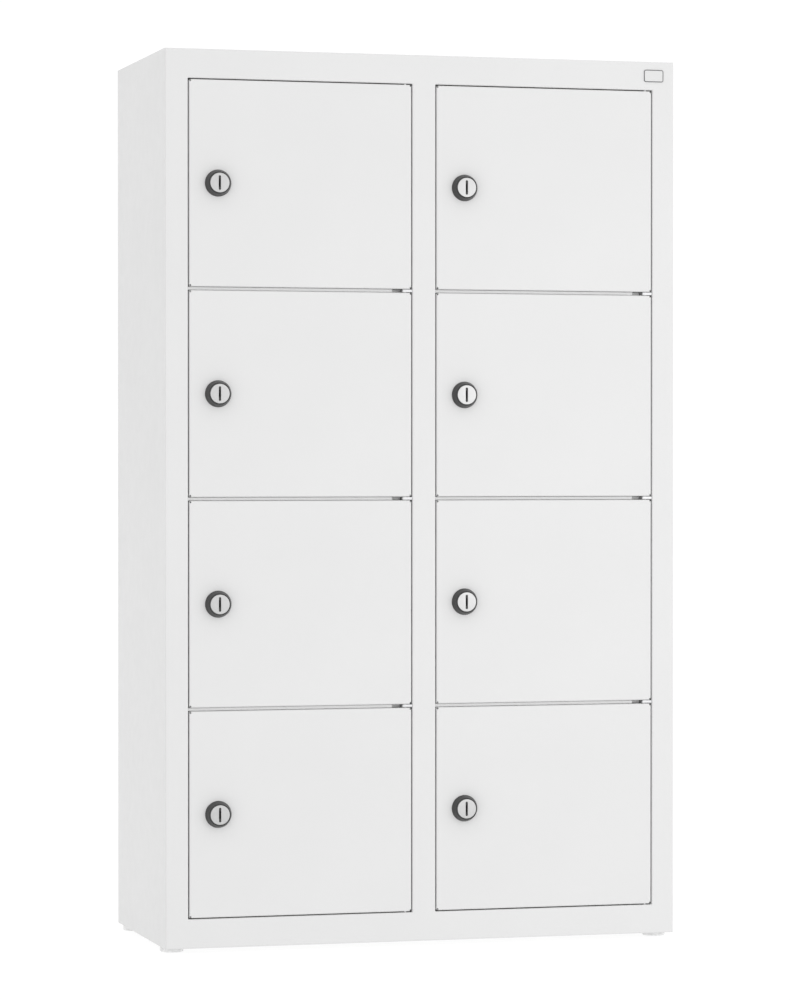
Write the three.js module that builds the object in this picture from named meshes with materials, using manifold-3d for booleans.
// A steel parcel locker: two columns of four small doors in a white cabinet.
// Units are millimetres, +Z is up and the doors face -Y. The origin is on the floor, in the middle of
// the overall width and depth. Every door hangs on its +X edge and locks on its -X edge.

import * as THREE from "three";
import { mergeVertices } from "three/addons/utils/BufferGeometryUtils.js";
import Module from "manifold-3d";

const wasm = await Module();
wasm.setup();

// ---------------------------------------------------------------- driving dimensions

const cabinetWidth = 510;
const cabinetDepth = 227;
const cabinetHeight = 855;
const footHeight = 5;

const sideStile = 22.2; // visible width of the frame at each side
const centreStile = 23.2; // visible width of the frame between the columns
const rail = 28; // visible height of the frame above and below the doors
const rowCount = 4;

const sheet = 1.2; // steel of the cabinet and the doors
const shelfSheet = 1; // steel of the shelves
const bend = 1.5; // outer radius of every fold
const frameGap = 1; // between a door and the frame
const doorSpacing = 3.5; // between two doors, where a shelf edge shows
const clearance = 0.3; // between pieces that only pass each other
const closeFit = 0.2; // around pieces that turn in a hole, are clamped in one or fill a gap

const trayFlange = 15; // how far the frame's outer rim runs back
const lipDepth = 18; // how far the rim of a door opening runs back
const strikeWidth = 10; // return that the door closes against and the cam catches behind
const doorFlange = 15; // depth of a door
const rearFlange = 15; // width of the folded border on the back
const openingCorner = 0.6;
const doorCorner = 1.7; // leaves a small dark notch in each corner of an opening

const hingeInset = 6.5; // from the opening's edge to the hinge axis
const hingeDepth = 4; // from the front face back to the hinge axis
const pinRadius = 1.5;
const pinHole = pinRadius + closeFit;
const pinGrip = 4; // how far a pin reaches past a door's flange
const pinHeadRadius = 2.6;
const pinHeadHeight = 1.5;
const tabWidth = 10; // of the hinge brackets, from the opening's edge
const tabSetback = 1; // from the front face back to a hinge bracket
const tabDepth = 11;

const lockInset = 28.1; // from the door's free edge to the lock axis
const lockProtrusion = 8.2; // from the door's face to the face of the plug
const rosetteRadius = 12.85;
const barrelRadius = 9.5;
const barrelFlat = 8; // half the distance between the barrel's two flats
const plugFaceRadius = 9.4;
const plugShaftRadius = 6;
const tailHalf = 3.5; // half the side of the square end that drives the cam
const camDepth = 20; // from the front face back to the cam
const camThickness = 2;
const camReach = 29; // from the lock axis to the cam's tip

const footRadius = 11.2;
const footInsetX = 11.5;
const footInsetY = 26;
const footStudRadius = 4;
const footStudHeight = 8;

const plateLength = 20;
const plateHeight = 12;
const plateCorner = 2;
const plateThickness = 0.6;
const plateInset = 21; // from the cabinet's right side to the middle of the plate

// ---------------------------------------------------------------- derived dimensions

const halfWidth = cabinetWidth / 2;
const openingWidth = (cabinetWidth - 2 * sideStile - centreStile) / 2;
const openingBottom = rail;
const openingTop = cabinetHeight - rail;
const openingHeight = openingTop - openingBottom;
const doorWidth = openingWidth - 2 * frameGap;
const doorHeight = (openingHeight - 2 * frameGap - (rowCount - 1) * doorSpacing) / rowCount;
const rowPitch = doorHeight + doorSpacing;
const rearFace = cabinetDepth - 2 * sheet; // inner face of the rear panel
const wall = halfWidth - sheet; // inner face of a side panel
const frontY = (lockProtrusion - cabinetDepth) / 2; // centres the overall depth on the origin

const columns = [
  { side: "left", centre: -(centreStile + openingWidth) / 2, walls: [-wall, -sheet / 2] },
  { side: "right", centre: (centreStile + openingWidth) / 2, walls: [sheet / 2, wall] },
];

// ---------------------------------------------------------------- materials

function material(color, roughness, metalness) {
  return new THREE.MeshStandardMaterial({ color, roughness, metalness, flatShading: true });
}

const whiteCoat = material(0xebebe9, 0.45, 0.1);
const blackPlastic = material(0x3b3b3c, 0.4, 0);
const brightMetal = material(0xd6d7d8, 0.3, 0.9);
const zincSteel = material(0xb4b8bb, 0.4, 0.9);
const greyPlastic = material(0xd9d9d6, 0.6, 0);
const plainPlate = material(0xc4c7c9, 0.4, 0.3);

// ---------------------------------------------------------------- joining and cutting

function toSolid(geometry) {
  const bare = geometry.clone();
  bare.deleteAttribute("normal");
  bare.deleteAttribute("uv");
  const merged = mergeVertices(bare);
  const corners = merged.index.array;
  const triangles = [];
  for (let i = 0; i < corners.length; i += 3) {
    const [a, b, c] = corners.slice(i, i + 3);
    const hasArea = a !== b && b !== c && c !== a;
    if (hasArea) triangles.push(a, b, c);
  }
  return new wasm.Manifold(new wasm.Mesh({
    numProp: 3,
    vertProperties: Float32Array.from(merged.attributes.position.array),
    triVerts: Uint32Array.from(triangles),
  }));
}

function toGeometry(solid) {
  const { vertProperties, triVerts } = solid.getMesh();
  const geometry = new THREE.BufferGeometry();
  geometry.setAttribute("position", new THREE.BufferAttribute(vertProperties, 3));
  geometry.setIndex(new THREE.BufferAttribute(triVerts, 1));
  return geometry;
}

function join(...shapes) {
  return toGeometry(shapes.map(toSolid).reduce((whole, shape) => whole.add(shape)));
}

function cut(base, ...tools) {
  return toGeometry(tools.map(toSolid).reduce((rest, tool) => rest.subtract(tool), toSolid(base)));
}

function overlap(first, second) {
  return toGeometry(toSolid(first).intersect(toSolid(second)));
}

// ---------------------------------------------------------------- basic shapes

// A box given by its limits along x, y and z.
function block([x0, x1], [y0, y1], [z0, z1]) {
  const box = new THREE.BoxGeometry(x1 - x0, y1 - y0, z1 - z0);
  return box.translate((x0 + x1) / 2, (y0 + y1) / 2, (z0 + z1) / 2);
}

// A round bar along Z.
function post(radius, z0, z1) {
  const bar = new THREE.CylinderGeometry(radius, radius, z1 - z0, 12);
  return bar.rotateX(Math.PI / 2).translate(0, 0, (z0 + z1) / 2);
}

// A turned piece around Y, from a profile of [radius, y] points.
function turned(profile) {
  return new THREE.LatheGeometry(profile.map(([radius, y]) => new THREE.Vector2(radius, y)), 16);
}

// An outline given thickness along +Z. Small rounded corners take two straight steps each.
function thicken(outline, depth, options = {}) {
  return new THREE.ExtrudeGeometry(outline, { depth, bevelEnabled: false, curveSegments: 1, ...options });
}

// An outline in the x-z plane, given thickness from y0 back to y1.
function standing(outline, y0, y1, options) {
  return thicken(outline, y1 - y0, options).rotateX(Math.PI / 2).translate(0, y1, 0);
}

// An outline in the x-y plane, given height from z0 to z1.
function upright(outline, z0, z1) {
  return thicken(outline, z1 - z0).translate(0, 0, z0);
}

// An outline in the y-z plane, given width from x0 to x1.
function sideways(outline, x0, x1) {
  return thicken(outline, x1 - x0).rotateX(Math.PI / 2).rotateZ(Math.PI / 2).translate(x0, 0, 0);
}

function roundedRectangle({ left, right, bottom, top }, radius) {
  if (radius <= 0) {
    const corners = [[left, bottom], [right, bottom], [right, top], [left, top]];
    return new THREE.Shape(corners.map(([x, y]) => new THREE.Vector2(x, y)));
  }
  const quarter = Math.PI / 2;
  return new THREE.Shape()
    .absarc(right - radius, bottom + radius, radius, -quarter, 0)
    .absarc(right - radius, top - radius, radius, 0, quarter)
    .absarc(left + radius, top - radius, radius, quarter, 2 * quarter)
    .absarc(left + radius, bottom + radius, radius, 2 * quarter, 3 * quarter);
}

// Bounds moved inwards on every side.
function inset({ left, right, bottom, top }, by) {
  return { left: left + by, right: right - by, bottom: bottom + by, top: top - by };
}

// A plate facing -Y with its face at y = 0 and its edges rounded to the edge radius.
// A negative edge radius flares outwards instead, so cutting with it leaves a rounded rim.
function softPlate(bounds, depth, corner, edge) {
  const thickness = Math.abs(edge);
  const outline = roundedRectangle(inset(bounds, edge), corner - edge);
  return standing(outline, thickness, depth - thickness, {
    bevelEnabled: true,
    bevelThickness: thickness,
    bevelSize: edge,
    bevelSegments: thickness < sheet ? 1 : 2,
  });
}

// A shallow tray facing -Y: a flat face with a folded flange on all four sides.
function foldedTray(bounds, depth, corner) {
  const outside = softPlate(bounds, depth + 2 * bend, corner, bend);
  const inside = softPlate(inset(bounds, sheet), depth + 2 * bend, corner - sheet, bend - sheet);
  const { left, right, bottom, top } = bounds;
  const behind = block([left - 1, right + 1], [depth, depth + 3 * bend], [bottom - 1, top + 1]);
  return cut(outside, inside.translate(0, sheet, 0), behind);
}

// The outline of a sheet folded at right angles. The corners are those of its outer face, every bend
// turns to the right, and the thickness lies to the right.
function foldedOutline(corners) {
  const points = corners.map(([x, y]) => new THREE.Vector2(x, y));
  const heading = (i) => points[i + 1].clone().sub(points[i]).normalize();
  const rightOf = (direction) => new THREE.Vector2(direction.y, -direction.x).multiplyScalar(sheet);
  const last = points.length - 1;
  const outer = [points[0]];
  const inner = [points[0].clone().add(rightOf(heading(0)))];
  for (let i = 1; i < last; i += 1) {
    const before = heading(i - 1);
    const after = heading(i);
    const centre = points[i].clone().addScaledVector(before, -bend).addScaledVector(after, bend);
    for (let step = 0; step <= 3; step += 1) {
      const turn = (step / 3) * (Math.PI / 2);
      const ray = after.clone().multiplyScalar(-Math.cos(turn)).addScaledVector(before, Math.sin(turn));
      outer.push(centre.clone().addScaledVector(ray, bend));
      inner.push(centre.clone().addScaledVector(ray, bend - sheet));
    }
  }
  outer.push(points[last]);
  inner.push(points[last].clone().add(rightOf(heading(last - 1))));
  return new THREE.Shape([...outer, ...inner.reverse()]);
}

// ---------------------------------------------------------------- the cabinet

// The frame around the doors: a tray with two windows, whose rims are folded back. The -X rim of each
// window returns into the opening, as the stop that the doors close against and the cams catch behind.
function frontFrame() {
  const outer = { left: -halfWidth, right: halfWidth, bottom: 0, top: cabinetHeight };
  const windows = columns.map(({ centre }) => ({
    left: centre - openingWidth / 2,
    right: centre + openingWidth / 2,
    bottom: openingBottom,
    top: openingTop,
  }));
  const rims = windows.map((bounds) => {
    return standing(roundedRectangle(inset(bounds, -sheet), openingCorner + sheet), sheet / 2, lipDepth);
  });
  const strikes = windows.map(({ left, bottom, top }) => block(
    [left - sheet / 2, left + strikeWidth],
    [lipDepth - sheet, lipDepth],
    [bottom + bend, top - bend],
  ));
  const cuts = windows.map((bounds) => softPlate(bounds, lipDepth + 3 * bend, openingCorner, -bend));
  const pinHoles = windows.map((bounds) => {
    const hole = post(pinHole, bounds.bottom - 2 * sheet, bounds.top + 2 * sheet);
    return hole.translate(bounds.right - hingeInset, hingeDepth, 0);
  });
  const frame = cut(join(foldedTray(outer, trayFlange, 0), ...rims), ...cuts, ...pinHoles);
  return join(frame, ...strikes);
}

// A side of the cabinet with its rear border folded inwards. Its top and bottom ends are notched so
// that the top and bottom panels lie inside it.
function sidePanel(side) {
  const corners = side === "left"
    ? [[-halfWidth, trayFlange], [-halfWidth, cabinetDepth], [-halfWidth + rearFlange, cabinetDepth]]
    : [[halfWidth - rearFlange, cabinetDepth], [halfWidth, cabinetDepth], [halfWidth, trayFlange]];
  const body = upright(foldedOutline(corners), 0, cabinetHeight);
  const notch = (z0, z1) => block([-wall, wall], [0, cabinetDepth + 1], [z0, z1]);
  return cut(body, notch(-1, sheet), notch(cabinetHeight - sheet, cabinetHeight + 1));
}

// The top or the bottom of the cabinet with its rear border folded inwards. The border stops short of
// the borders of the sides.
function endPanel(end) {
  const lowerEdge = cabinetHeight - rearFlange;
  const corners = end === "top"
    ? [[trayFlange, cabinetHeight], [cabinetDepth, cabinetHeight], [cabinetDepth, lowerEdge]]
    : [[cabinetDepth, rearFlange], [cabinetDepth, 0], [trayFlange, 0]];
  const body = sideways(foldedOutline(corners), -wall, wall);
  const below = [sheet, cabinetHeight - sheet];
  const borderEnd = halfWidth - rearFlange - clearance;
  const behindSheet = [cabinetDepth - 2 * bend, cabinetDepth + 1];
  const leftEnd = block([-halfWidth, -borderEnd], behindSheet, below);
  const rightEnd = block([borderEnd, halfWidth], behindSheet, below);
  return cut(body, leftEnd, rightEnd);
}

function bottomPanel() {
  const holes = footPositions().map(([x, y]) => {
    return post(footStudRadius + clearance, -1, sheet + 1).translate(x, y, 0);
  });
  return cut(endPanel("bottom"), ...holes);
}

function rearPanel() {
  const edge = wall - 2 * clearance;
  return block([-edge, edge], [rearFace, rearFace + sheet], [2 * sheet, cabinetHeight - 2 * sheet]);
}

function centrePartition() {
  return block([-sheet / 2, sheet / 2], [sheet + clearance, rearFace], [sheet, cabinetHeight - sheet]);
}

// A shelf between two rows of doors. Its front edge is a thick hem that fills the space between the
// doors. The hem steps back beside the hinge bracket, and the shelf is notched around the strike. The
// other three sides are folded down.
function shelf({ centre, walls: [x0, x1] }) {
  const flangeDrop = 12;
  const hemHalf = doorSpacing / 2 - closeFit;
  const hemFront = 3;
  const hemBack = 14;
  const stepFront = 8.5;
  const stepWidth = 9.5;
  const bodyFront = lipDepth + clearance;
  const openingLeft = centre - openingWidth / 2;
  const hemLeft = openingLeft + clearance;
  const stepRight = centre + openingWidth / 2 - tabWidth - clearance;
  const hemRight = stepRight - stepWidth;
  const top = shelfSheet / 2;
  const drop = [top - flangeDrop, top];
  const strikeNotch = block(
    [openingLeft, openingLeft + strikeWidth + clearance],
    [hemBack, bodyFront],
    [-2 * sheet, 2 * sheet],
  );
  const whole = join(
    block([x0, x1], [bodyFront, rearFace], [-top, top]),
    block([x0, x0 + shelfSheet], [bodyFront, rearFace], drop),
    block([x1 - shelfSheet, x1], [bodyFront, rearFace], drop),
    block([x0, x1], [rearFace - shelfSheet, rearFace], drop),
    block([hemLeft, stepRight], [hemBack - shelfSheet, bodyFront + 1], [-top, top]),
    block([hemLeft, hemRight], [hemFront, hemBack], [-hemHalf, hemHalf]),
    block([hemRight - 1, stepRight], [stepFront, hemBack], [-hemHalf, hemHalf]),
  );
  return cut(whole, strikeNotch);
}

// ---------------------------------------------------------------- feet and plate

function footPositions() {
  const x = halfWidth - footInsetX;
  const y = [footInsetY, cabinetDepth - footInsetY];
  return [[-x, y[0]], [x, y[0]], [-x, y[1]], [x, y[1]]];
}

// A round glide with a stud that passes through the bottom panel.
function foot() {
  const chamfer = 0.8;
  const studTop = footHeight + footStudHeight;
  return turned([
    [0, 0],
    [footRadius - chamfer, 0],
    [footRadius, chamfer],
    [footRadius, footHeight - chamfer],
    [footRadius - chamfer, footHeight],
    [footStudRadius, footHeight],
    [footStudRadius, studTop],
    [0, studTop],
  ]).rotateX(Math.PI / 2);
}

// A small blank plate for the owner's own mark, with its middle at the origin.
function labelPlate() {
  const halfLength = plateLength / 2;
  const halfHeight = plateHeight / 2;
  const bounds = { left: -halfLength, right: halfLength, bottom: -halfHeight, top: halfHeight };
  return standing(roundedRectangle(bounds, plateCorner), -plateThickness, 0, { curveSegments: 2 });
}

// ---------------------------------------------------------------- doors and hinges

// A door in the frame of its hinge axis, with its middle height at z = 0.
function doorPan() {
  const bounds = {
    left: hingeInset - frameGap - doorWidth,
    right: hingeInset - frameGap,
    bottom: -doorHeight / 2,
    top: doorHeight / 2,
  };
  const tray = foldedTray(bounds, doorFlange, doorCorner).translate(0, -hingeDepth, 0);
  const hole = barrelOutline(barrelRadius + closeFit, barrelFlat + closeFit, -1, 2 * sheet);
  hole.translate(bounds.left + lockInset, -hingeDepth, 0);
  return cut(tray, hole, post(pinHole, -doorHeight, doorHeight));
}

// A thick tab welded to the frame between two doors, with the pin that both doors turn on. The origin
// is on the hinge axis.
function hingeBracket() {
  const tabHalf = doorSpacing / 2 - clearance;
  const tabCorner = 1.2;
  const front = tabSetback - hingeDepth;
  const bounds = {
    left: hingeInset - tabWidth,
    right: hingeInset + 2 * tabCorner,
    bottom: front,
    top: front + tabDepth,
  };
  const tab = upright(roundedRectangle(bounds, tabCorner), -tabHalf, tabHalf);
  const frameSide = block([hingeInset, 2 * tabWidth], [-tabDepth, 2 * tabDepth], [-doorSpacing, doorSpacing]);
  const pinHalf = doorSpacing / 2 + sheet + pinGrip;
  return join(cut(tab, frameSide), post(pinRadius, -pinHalf, pinHalf));
}

// A headed pin, hanging through the rim of a window into the door below it.
function hingePin() {
  const shank = post(pinRadius, -(frameGap + sheet + pinGrip), sheet + pinHeadHeight / 2);
  return join(shank, post(pinHeadRadius, sheet, sheet + pinHeadHeight));
}

// ---------------------------------------------------------------- locks

// A round bar along Y with two flats, the section of the lock's barrel and of its hole in the door.
function barrelOutline(radius, flat, y0, y1) {
  const bar = turned([[0, y0], [radius, y0], [radius, y1], [0, y1]]);
  return overlap(bar, block([-radius, radius], [y0, y1], [-flat, flat]));
}

// The fixed part of a lock: a conical rosette on the door's face and a barrel through the door.
function lockHousing() {
  const barrelLength = 18;
  const rosetteHeight = lockProtrusion - 0.4;
  const rimOuter = 10.3;
  const rimInner = plugFaceRadius + clearance;
  const pocketFloor = -lockProtrusion + 3;
  const bore = plugShaftRadius + closeFit;
  const rosette = turned([
    [bore, 0],
    [rosetteRadius, 0],
    [rosetteRadius, -0.8],
    [rimOuter, -rosetteHeight],
    [rimInner, -rosetteHeight],
    [rimInner, pocketFloor],
    [bore, pocketFloor],
    [bore, 0],
  ].reverse());
  const barrel = barrelOutline(barrelRadius, barrelFlat, -1, barrelLength);
  const drill = turned([[0, -2], [bore, -2], [bore, barrelLength + 1], [0, barrelLength + 1]]);
  const drilled = cut(barrel, drill);
  return join(rosette, drilled);
}

// The turning part of a lock: a flat face with a key slot, a shaft and a square end for the cam.
function lockPlug() {
  const faceBack = -lockProtrusion + 2.8;
  const shaftBack = camDepth - 1.4;
  const chamfer = 0.3;
  const body = turned([
    [0, -lockProtrusion],
    [plugFaceRadius - chamfer, -lockProtrusion],
    [plugFaceRadius, -lockProtrusion + chamfer],
    [plugFaceRadius, faceBack],
    [plugShaftRadius, faceBack],
    [plugShaftRadius, shaftBack],
    [0, shaftBack],
  ]);
  const tailEnd = camDepth + camThickness + 2;
  const tail = block([-tailHalf, tailHalf], [0, tailEnd], [-tailHalf, tailHalf]);
  const slotHalfWidth = 0.95;
  const keySlot = (halfLength, depth) => {
    const bounds = { left: -slotHalfWidth, right: slotHalfWidth, bottom: -halfLength, top: halfLength };
    const outline = roundedRectangle(bounds, slotHalfWidth * 0.99);
    return standing(outline, -lockProtrusion - 1, -lockProtrusion + depth, { curveSegments: 2 });
  };
  return cut(join(body, tail), keySlot(6.8, 1.8), keySlot(4.2, 16));
}

// The cam: a flat arm that hangs down when the lock is open.
function lockCam() {
  const hubRadius = 9;
  const armHalf = 8;
  const tipRadius = 4;
  const squareHole = tailHalf + closeFit;
  const shoulder = Math.acos(armHalf / hubRadius);
  const outline = new THREE.Shape()
    .absarc(0, 0, hubRadius, -shoulder, Math.PI + shoulder)
    .absarc(-armHalf + tipRadius, -camReach + tipRadius, tipRadius, Math.PI, 1.5 * Math.PI)
    .absarc(armHalf - tipRadius, -camReach + tipRadius, tipRadius, 1.5 * Math.PI, 2 * Math.PI);
  const hole = { left: -squareHole, right: squareHole, bottom: -squareHole, top: squareHole };
  outline.holes.push(roundedRectangle(hole, 0));
  return standing(outline, camDepth, camDepth + camThickness, { curveSegments: 3 });
}

// ---------------------------------------------------------------- assembly

function piece(name, geometry, pieceMaterial, position = [0, 0, 0]) {
  const mesh = new THREE.Mesh(geometry, pieceMaterial);
  mesh.name = name;
  mesh.position.set(...position);
  return mesh;
}

function carcass() {
  const group = new THREE.Group();
  group.add(
    piece("front_frame", frontFrame(), whiteCoat),
    piece("left_side_panel", sidePanel("left"), whiteCoat),
    piece("right_side_panel", sidePanel("right"), whiteCoat),
    piece("top_panel", endPanel("top"), whiteCoat),
    piece("bottom_panel", bottomPanel(), whiteCoat),
    piece("rear_panel", rearPanel(), whiteCoat),
    piece("centre_partition", centrePartition(), whiteCoat),
  );
  const platePosition = [halfWidth - plateInset, 0, cabinetHeight - rail / 2];
  group.add(piece("label_plate", labelPlate(), plainPlate, platePosition));
  const footNames = ["foot_front_left", "foot_front_right", "foot_rear_left", "foot_rear_right"];
  footPositions().forEach(([x, y], i) => {
    group.add(piece(footNames[i], foot(), greyPlastic, [x, y, -footHeight]));
  });
  return group;
}

// A door with its lock. The group's origin is on the hinge axis at the door's middle height.
function doorUnit(label) {
  const group = new THREE.Group();
  group.add(piece(`door_${label}`, doorPan(), whiteCoat));
  const lock = new THREE.Group();
  lock.position.set(hingeInset - frameGap - doorWidth + lockInset, -hingeDepth, 0);
  lock.add(
    piece(`lock_housing_${label}`, lockHousing(), blackPlastic),
    piece(`lock_plug_${label}`, lockPlug(), brightMetal),
    piece(`lock_cam_${label}`, lockCam(), zincSteel),
  );
  group.add(lock);
  return group;
}

// One column: its doors from the top down, the shelves between them and the hinge pins.
function column(place) {
  const { side, centre } = place;
  const group = new THREE.Group();
  const hingeX = centre + openingWidth / 2 - hingeInset;
  for (let row = 0; row < rowCount; row += 1) {
    const door = doorUnit(`${side}_${row + 1}`);
    const doorMiddle = openingTop - frameGap - doorHeight / 2 - row * rowPitch;
    door.position.set(hingeX, hingeDepth, doorMiddle);
    group.add(door);
    if (row === rowCount - 1) continue;
    const gapMiddle = doorMiddle - rowPitch / 2;
    const label = `${side}_${row + 1}_${row + 2}`;
    group.add(
      piece(`shelf_${label}`, shelf(place), whiteCoat, [0, 0, gapMiddle]),
      piece(`hinge_bracket_${label}`, hingeBracket(), zincSteel, [hingeX, hingeDepth, gapMiddle]),
    );
  }
  const pinAt = (end, z) => {
    return piece(`hinge_pin_${side}_${end}`, hingePin(), zincSteel, [hingeX, hingeDepth, z]);
  };
  const topPin = pinAt("top", openingTop);
  const bottomPin = pinAt("bottom", openingBottom);
  bottomPin.rotation.x = Math.PI;
  group.add(topPin, bottomPin);
  return group;
}

const cabinet = new THREE.Group();
cabinet.add(carcass(), ...columns.map(column));
cabinet.position.set(0, frontY, footHeight);

const locker = new THREE.Group();
locker.add(cabinet);

export default locker;
